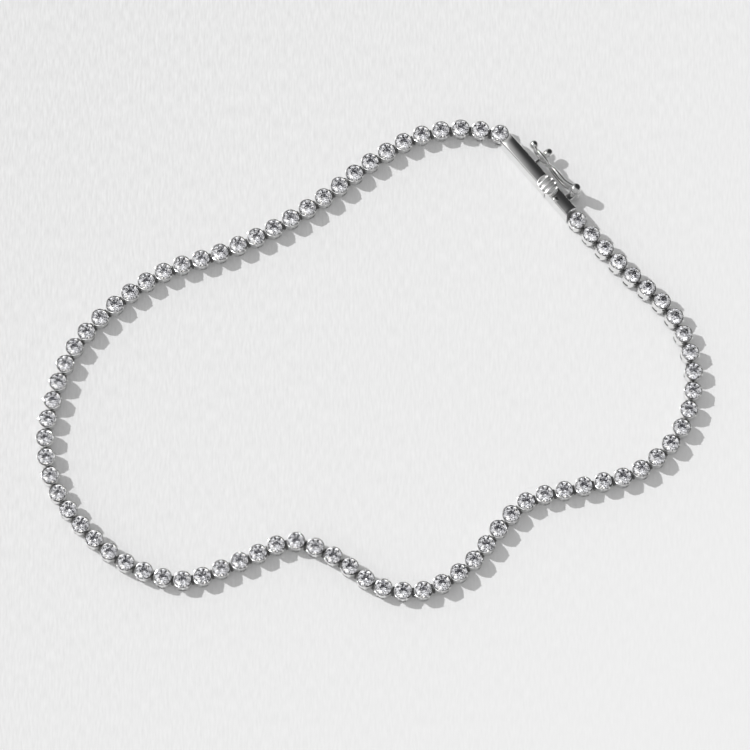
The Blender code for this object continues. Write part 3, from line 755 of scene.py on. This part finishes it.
clasp_metal = polished_metal("clasp_white_gold", CLASP_METAL, 1.8 * MM, 0.02, 0.06, 0.003 * MM)
box_rings = hollowed_end(-1, BOX_FALL)
for station in (*BOX_STATIONS, SLOT_START, SEAM - LIP_ROUND):
    share_left = (SEAM - station) / (SEAM + CLASP_END)
    box_rings.append(case_ring(case_section(), station, drop=SEAM_FALL + (BOX_FALL - SEAM_FALL) * share_left))
for turn in LIP_TURNS[1::-1]:
    section = case_section(LIP_ROUND * (1 - math.sin(turn)))
    box_rings.append(case_ring(section, SEAM - LIP_ROUND * (1 - math.cos(turn)), drop=SEAM_FALL))
box_rings = np.array(box_rings)
reached = box_rings[:, :, 0].mean(axis=1)
cavity_x = np.interp(reached, [reached[0], SLOT_START, SEAM], [CAVITY_END, SLOT_START, SEAM])
cavity_shrinks = [*CAP_SHRINKS] + [1.0] * (len(reached) - len(CAP_SHRINKS))
cavity_rings = np.array([case_ring(case_section(BOX_WALL), x, shrink=shrink)
                         for x, shrink in zip(cavity_x, cavity_shrinks)])
neck_slot = np.zeros((len(box_rings) - 1, box_rings.shape[1]), bool)
neck_slot[-NECK_SLOT_ROWS:, NECK_SLOT_COLUMNS] = True
box_shell = pierced_wall(box_rings, cavity_rings, neck_slot, closed_start=True)
box = mesh_piece("box", *on_clasp(box_shell), clasp_metal)
box.data.set_sharp_from_angle(angle=math.radians(50))
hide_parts("clasp_box")
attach(box, "bracelet")

# The catch on the box's outer side: a short post with a drawn-out ball for a head, which the latch's first
# loop closes over. It is turned in one piece and soldered to the box's wall.
LATCH_RISE = 1.50 * MM
LATCH_Y = 1.57 * MM
WIRE_RADIUS = 0.19 * MM
CATCH_X = -1.307 * MM
CATCH_PROFILE = np.array([
    (0.300, 0.00), (0.300, 0.14), (0.250, 0.17), (0.225, 0.24), (0.220, 1.20), (0.245, 1.27), (0.330, 1.36),
    (0.410, 1.50), (0.455, 1.68), (0.460, 1.84), (0.430, 2.02), (0.360, 2.18), (0.250, 2.29), (0.110, 2.345),
]) * MM
CATCH_COLUMNS = 24
CATCH_SUNK = 0.14 * MM


def turned_on(profile, columns, foot, direction):
    """A turned piece, its profile rows a radius and a height, with its axis from foot in that direction."""
    lean = Vector((0, 0, 1)).rotation_difference(Vector(direction)).to_matrix().to_4x4()
    return copies(closed_skin(revolved(profile, columns)), [Matrix.Translation(foot) @ lean])


catch = turned_on(CATCH_PROFILE, CATCH_COLUMNS, (CATCH_X, CLASP_SIDE - CATCH_SUNK, LATCH_RISE), (0, 1, 0))
catch_ball = mesh_piece("catch_ball", *on_clasp(catch), clasp_metal)
catch_ball.data.set_sharp_from_angle(angle=math.radians(50))
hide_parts("clasp_box")
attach(catch_ball, "bracelet")

# The end block: solid, of the box's section, hollowed at its end for the last cup, and polished with the box.
# A small domed rivet in its top holds the spring tongue's root.
END_START = 1.81 * MM
END_STATIONS = np.array([2.3, 3.2, 4.1, 4.7]) * MM
END_FALL = 0.06 * MM
TONGUE_RIVET = (3.10 * MM, -0.36 * MM)
RIVET_PROFILE = np.array([
    (0.300, -0.08), (0.315, 0.02), (0.300, 0.045), (0.240, 0.078), (0.160, 0.112), (0.080, 0.130),
    (0.030, 0.134),
]) * MM
end_rings = []
for turn in LIP_TURNS:
    section = case_section(LIP_ROUND * (1 - math.sin(turn)))
    if turn == 0:
        end_rings += [case_ring(section, END_START, shrink=shrink) for shrink in CAP_SHRINKS]
    end_rings.append(case_ring(section, END_START + LIP_ROUND * (1 - math.cos(turn)), drop=SEAM_FALL))
for station in END_STATIONS:
    share_on = (station - END_START) / (CLASP_END - END_START)
    end_rings.append(case_ring(case_section(), station, drop=SEAM_FALL + (END_FALL - SEAM_FALL) * share_on))
end_rings += hollowed_end(1, END_FALL)[::-1]
rivet_place = (TONGUE_RIVET[0], TONGUE_RIVET[1], CLASP_HEIGHT)
tongue_rivet = turned_on(RIVET_PROFILE, CATCH_COLUMNS, rivet_place, (0, 0, 1))
end_shape = joined([closed_skin(np.array(end_rings)), tongue_rivet])
end_block = mesh_piece("end_block", *on_clasp(end_shape), clasp_metal)
end_block.data.set_sharp_from_angle(angle=math.radians(50))
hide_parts("clasp_tongue")
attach(end_block, "bracelet")

# The spring tongue: a leaf folded back on itself inside the box, soldered to the end block, with the neck of
# the thumb piece at its free end. It shows through the seam alone.
LEAF_PATH = np.array([
    (2.05, 0.42), (0.60, 0.42), (-1.00, 0.42), (-2.30, 0.42), (-2.74, 0.46), (-2.87, 0.58), (-2.78, 0.71),
    (-2.30, 0.86), (-1.00, 1.20), (0.20, 1.53), (0.80, 1.70), (1.37, 1.78),
]) * MM
LEAF_HALF_WIDTH = 0.38 * MM
LEAF_HALF_THICKNESS = 0.11 * MM
NECK_X = 1.29 * MM
NECK_HALF_LENGTH = 0.28 * MM
NECK_HALF_WIDTH = 0.22 * MM
NECK_LEVELS = np.array([1.76, 1.90, 2.20, 2.40]) * MM
LEAF_EDGE = 0.03 * MM
NECK_EDGE = 0.06 * MM
leaf_run = np.gradient(LEAF_PATH, axis=0)
leaf_run /= np.linalg.norm(leaf_run, axis=1)[:, None]
leaf_section, _ = rounded_section(LEAF_HALF_WIDTH, LEAF_HALF_THICKNESS, LEAF_EDGE, 2)
leaf_rings = np.stack([
    LEAF_PATH[:, 0, None] - leaf_section[:, 1] * leaf_run[:, 1, None],
    np.broadcast_to(leaf_section[:, 0], (len(LEAF_PATH), len(leaf_section))),
    LEAF_PATH[:, 1, None] + leaf_section[:, 1] * leaf_run[:, 0, None],
], axis=-1)
neck_section, _ = rounded_section(NECK_HALF_LENGTH, NECK_HALF_WIDTH, NECK_EDGE, 3)
neck_rings = np.array([np.column_stack([neck_section[:, 0] + NECK_X, neck_section[:, 1],
                                        np.full(len(neck_section), level)]) for level in NECK_LEVELS])
leaf = joined([closed_skin(leaf_rings), closed_skin(neck_rings)])
spring_leaf = mesh_piece("spring_leaf", *on_clasp(leaf), clasp_metal)
spring_leaf.data.set_sharp_from_angle(angle=math.radians(40))
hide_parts("clasp_tongue")
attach(spring_leaf, "bracelet")

# The thumb piece: a rounded button over the seam, with soft ridges filed across it for grip and a duller
# finish than the clasp's. Its colour is lighter than the clasp's, a painted brightening that stands in for the
# sheen on its ridges. Pressing it frees the tongue.
THUMB_X = 1.54 * MM
THUMB_Y = -0.10 * MM
THUMB_HALF_LENGTH = 1.10 * MM
THUMB_HALF_WIDTH = 0.875 * MM
THUMB_UNDER = 2.30 * MM
THUMB_THICKNESS = 0.50 * MM
THUMB_WAIST = 0.36
THUMB_FALL = 0.30
THUMB_POWER = 2.5
RIDGE_PITCH = 0.55 * MM
RIDGE_DEPTH = 0.20 * MM
RIDGE_SHARPNESS = 1.2
RIDGE_END = 0.96
RIDGE_FADE = 0.2
THUMB_STATIONS = 66
THUMB_COLUMNS = 36
# Painted highlight: lighter than the clasp's metal, for the brighter sheen on the thumb piece's ridges.
THUMB_BRIGHTENED_COLOUR = (0.94, 0.94, 0.93)


def thumb_rings():
    """Sections across the button, from its one end to the other. With u and v the shares of the half length
    and the half width, the outline is |u|^n + |v|^n = 1. The top is a dome, 1 - f (u^2 + v^2) of the
    thickness high, let down by a wave along u that fades towards the outline."""
    u = np.sin(np.linspace(-0.995, 0.995, THUMB_STATIONS) * math.pi / 2)[:, None]
    angle = np.arange(THUMB_COLUMNS) * 2 * math.pi / THUMB_COLUMNS
    c, s = np.cos(angle), np.sin(angle)
    width = (1 - abs(u) ** THUMB_POWER) ** (1 / THUMB_POWER)
    v = width * np.sign(c) * abs(c) ** 0.8
    out = (abs(u) ** THUMB_POWER + abs(v) ** THUMB_POWER) ** (1 / THUMB_POWER)
    wave = (0.5 - 0.5 * np.cos(2 * math.pi * u * THUMB_HALF_LENGTH / RIDGE_PITCH)) ** RIDGE_SHARPNESS
    fade = np.clip((RIDGE_END - out) / RIDGE_FADE, 0, 1)
    dome = THUMB_THICKNESS * (1 - THUMB_FALL * (u ** 2 + v ** 2))
    dome = dome - RIDGE_DEPTH * fade ** 2 * (3 - 2 * fade) * wave
    waist = THUMB_THICKNESS * THUMB_WAIST
    rounding = (1 - abs(u) ** 10) ** 0.5
    above = waist + (dome - waist) * rounding * abs(s) ** 0.4
    below = waist * (1 - rounding * abs(s) ** 0.3)
    z = np.where(s > 0, above, below)
    x = THUMB_X + u * THUMB_HALF_LENGTH + 0 * v
    y = THUMB_Y + v * THUMB_HALF_WIDTH
    return np.stack([x, y, THUMB_UNDER + z], axis=-1)


# The thumb piece's metal is painted lighter than the clasp's, a painted highlight on its ridges.
thumb_brightened_metal = polished_metal("thumb_white_gold_painted_bright", THUMB_BRIGHTENED_COLOUR, 0.6 * MM, 0.34, 0.46, 0.003 * MM)
thumb_piece = mesh_piece("thumb_piece", *on_clasp(closed_skin(thumb_rings())), thumb_brightened_metal)
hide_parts("clasp_tongue")
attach(thumb_piece, "bracelet")

# The latch's hinge on the end block: a turned post with two grooves, webbed to the block's side, and a pin
# whose burred head holds the latch's knuckle down on the post.
HINGE_X = 3.56 * MM
HINGE_Y = 1.91 * MM
POST_PROFILE = np.array([
    (0.300, 0.20), (0.470, 0.20), (0.510, 0.24), (0.520, 0.32), (0.520, 0.62), (0.480, 0.66), (0.425, 0.71),
    (0.480, 0.76), (0.520, 0.80), (0.520, 1.04), (0.480, 1.08), (0.425, 1.13), (0.480, 1.18), (0.520, 1.22),
    (0.520, 1.46), (0.500, 1.51), (0.460, 1.53), (0.245, 1.53), (0.240, 1.56), (0.240, 2.535), (0.400, 2.54),
    (0.455, 2.555), (0.450, 2.60), (0.400, 2.65), (0.320, 2.70), (0.220, 2.745), (0.100, 2.772),
]) * MM
POST_COLUMNS = 32
WEB_HALF_LENGTH = 0.36 * MM
WEB_LOW = 0.34 * MM
WEB_HIGH = 1.36 * MM
WEB_EDGE = 0.08 * MM
WEB_STATIONS = (0.60 * MM, 1.10 * MM, 1.60 * MM)
web_section, _ = rounded_section(WEB_HALF_LENGTH, (WEB_HIGH - WEB_LOW) / 2, WEB_EDGE, 3)
web_rings = np.array([np.column_stack([HINGE_X - web_section[:, 0], np.full(len(web_section), y),
                                       web_section[:, 1] + (WEB_LOW + WEB_HIGH) / 2])
                      for y in WEB_STATIONS])
turned_post = turned_on(POST_PROFILE, POST_COLUMNS, (HINGE_X, HINGE_Y, 0), (0, 0, 1))
post = joined([turned_post, closed_skin(web_rings)])
hinge_post = mesh_piece("hinge_post", *on_clasp(post), clasp_metal)
hinge_post.data.set_sharp_from_angle(angle=math.radians(50))
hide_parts("clasp_tongue")
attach(hinge_post, "bracelet")

# The safety latch: a wire bent into two loops end to end, with a soldered ball to lift it by. Its other end
# is forged out into the domed knuckle that turns on the hinge's pin.
LATCH_HALF_HEIGHT = 0.74 * MM
LOOP_MIDDLES = np.array([-1.307, 1.337]) * MM
LOOP_HALVES = np.array([1.073, 1.443]) * MM
LOOP_STEPS = 56
WIRE_COLUMNS = 12
BALL_PROFILE = np.array([
    (0.150, 0.00), (0.145, 0.10), (0.190, 0.16), (0.310, 0.25), (0.405, 0.38), (0.448, 0.53), (0.448, 0.67),
    (0.400, 0.83), (0.300, 0.95), (0.160, 1.03), (0.060, 1.05),
]) * MM
BALL_FOOT = (-2.35 * MM, LATCH_Y, LATCH_RISE)
BALL_DIRECTION = (-1, 0.50, 0.35)
ARM_PATH = np.array([
    (1.75, 2.205, 0.12), (2.05, 2.150, 0.16), (2.40, 2.105, 0.19), (2.80, 2.075, 0.215), (3.20, 2.060, 0.24),
]) * MM
KNUCKLE_OUTSIDE = np.array([
    (0.360, 1.625), (0.480, 1.625), (0.512, 1.66), (0.520, 1.73), (0.520, 2.22), (0.508, 2.32), (0.470, 2.40),
    (0.410, 2.445), (0.350, 2.455),
]) * MM
KNUCKLE_INSIDE = np.array([(0.340, height) for _, height in KNUCKLE_OUTSIDE / MM]) * MM


def wire_oval(middle, half_length, half_height):
    """A closed oval of round wire that stands along X and Z: a ring of points round each of its points,
    carried round the oval as y and outward offsets."""
    around = np.arange(LOOP_STEPS) * 2 * math.pi / LOOP_STEPS
    across = np.arange(WIRE_COLUMNS) * 2 * math.pi / WIRE_COLUMNS
    core = np.stack([half_length * np.cos(around), half_height * np.sin(around)], axis=1)
    outward = np.stack([half_height * np.cos(around), half_length * np.sin(around)], axis=1)
    outward /= np.linalg.norm(outward, axis=1)[:, None]
    flat = core[:, None] + WIRE_RADIUS * np.cos(across)[None, :, None] * outward[:, None]
    side = np.broadcast_to(WIRE_RADIUS * np.sin(across), flat.shape[:2])
    points = np.stack([middle + flat[..., 0], LATCH_Y + side, LATCH_RISE + flat[..., 1]], axis=-1)
    faces = grid_faces(LOOP_STEPS + 1, WIRE_COLUMNS) % (LOOP_STEPS * WIRE_COLUMNS)
    return points.reshape(-1, 3), [faces[:, ::-1]]


loops = [wire_oval(middle, length, LATCH_HALF_HEIGHT)
         for middle, length in zip(LOOP_MIDDLES, LOOP_HALVES)]
arm_points, arm_faces = bent_rod(ARM_PATH[:, :2], ARM_PATH[:, 2], WIRE_COLUMNS)
arm_share = np.clip((arm_points[:, 0] - ARM_PATH[0, 0]) / (ARM_PATH[-1, 0] - ARM_PATH[0, 0]), 0, 1)
arm_points[:, 1] += LATCH_Y + (HINGE_Y - LATCH_Y) * arm_share ** 2
knuckle_open = np.zeros((len(KNUCKLE_OUTSIDE) - 1, POST_COLUMNS), bool)
knuckle = pierced_wall(revolved(KNUCKLE_OUTSIDE, POST_COLUMNS), revolved(KNUCKLE_INSIDE, POST_COLUMNS),
                       knuckle_open)
knuckle = (knuckle[0] + (HINGE_X, HINGE_Y, 0), knuckle[1])
ball = turned_on(BALL_PROFILE, CATCH_COLUMNS, BALL_FOOT, BALL_DIRECTION)
latch_shape = joined([*loops, (arm_points, arm_faces), knuckle, ball])
latch = mesh_piece("latch_wire", *on_clasp(latch_shape), clasp_metal)
latch.data.set_sharp_from_angle(angle=math.radians(50))
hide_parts("safety_latch")
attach(latch, "latch")
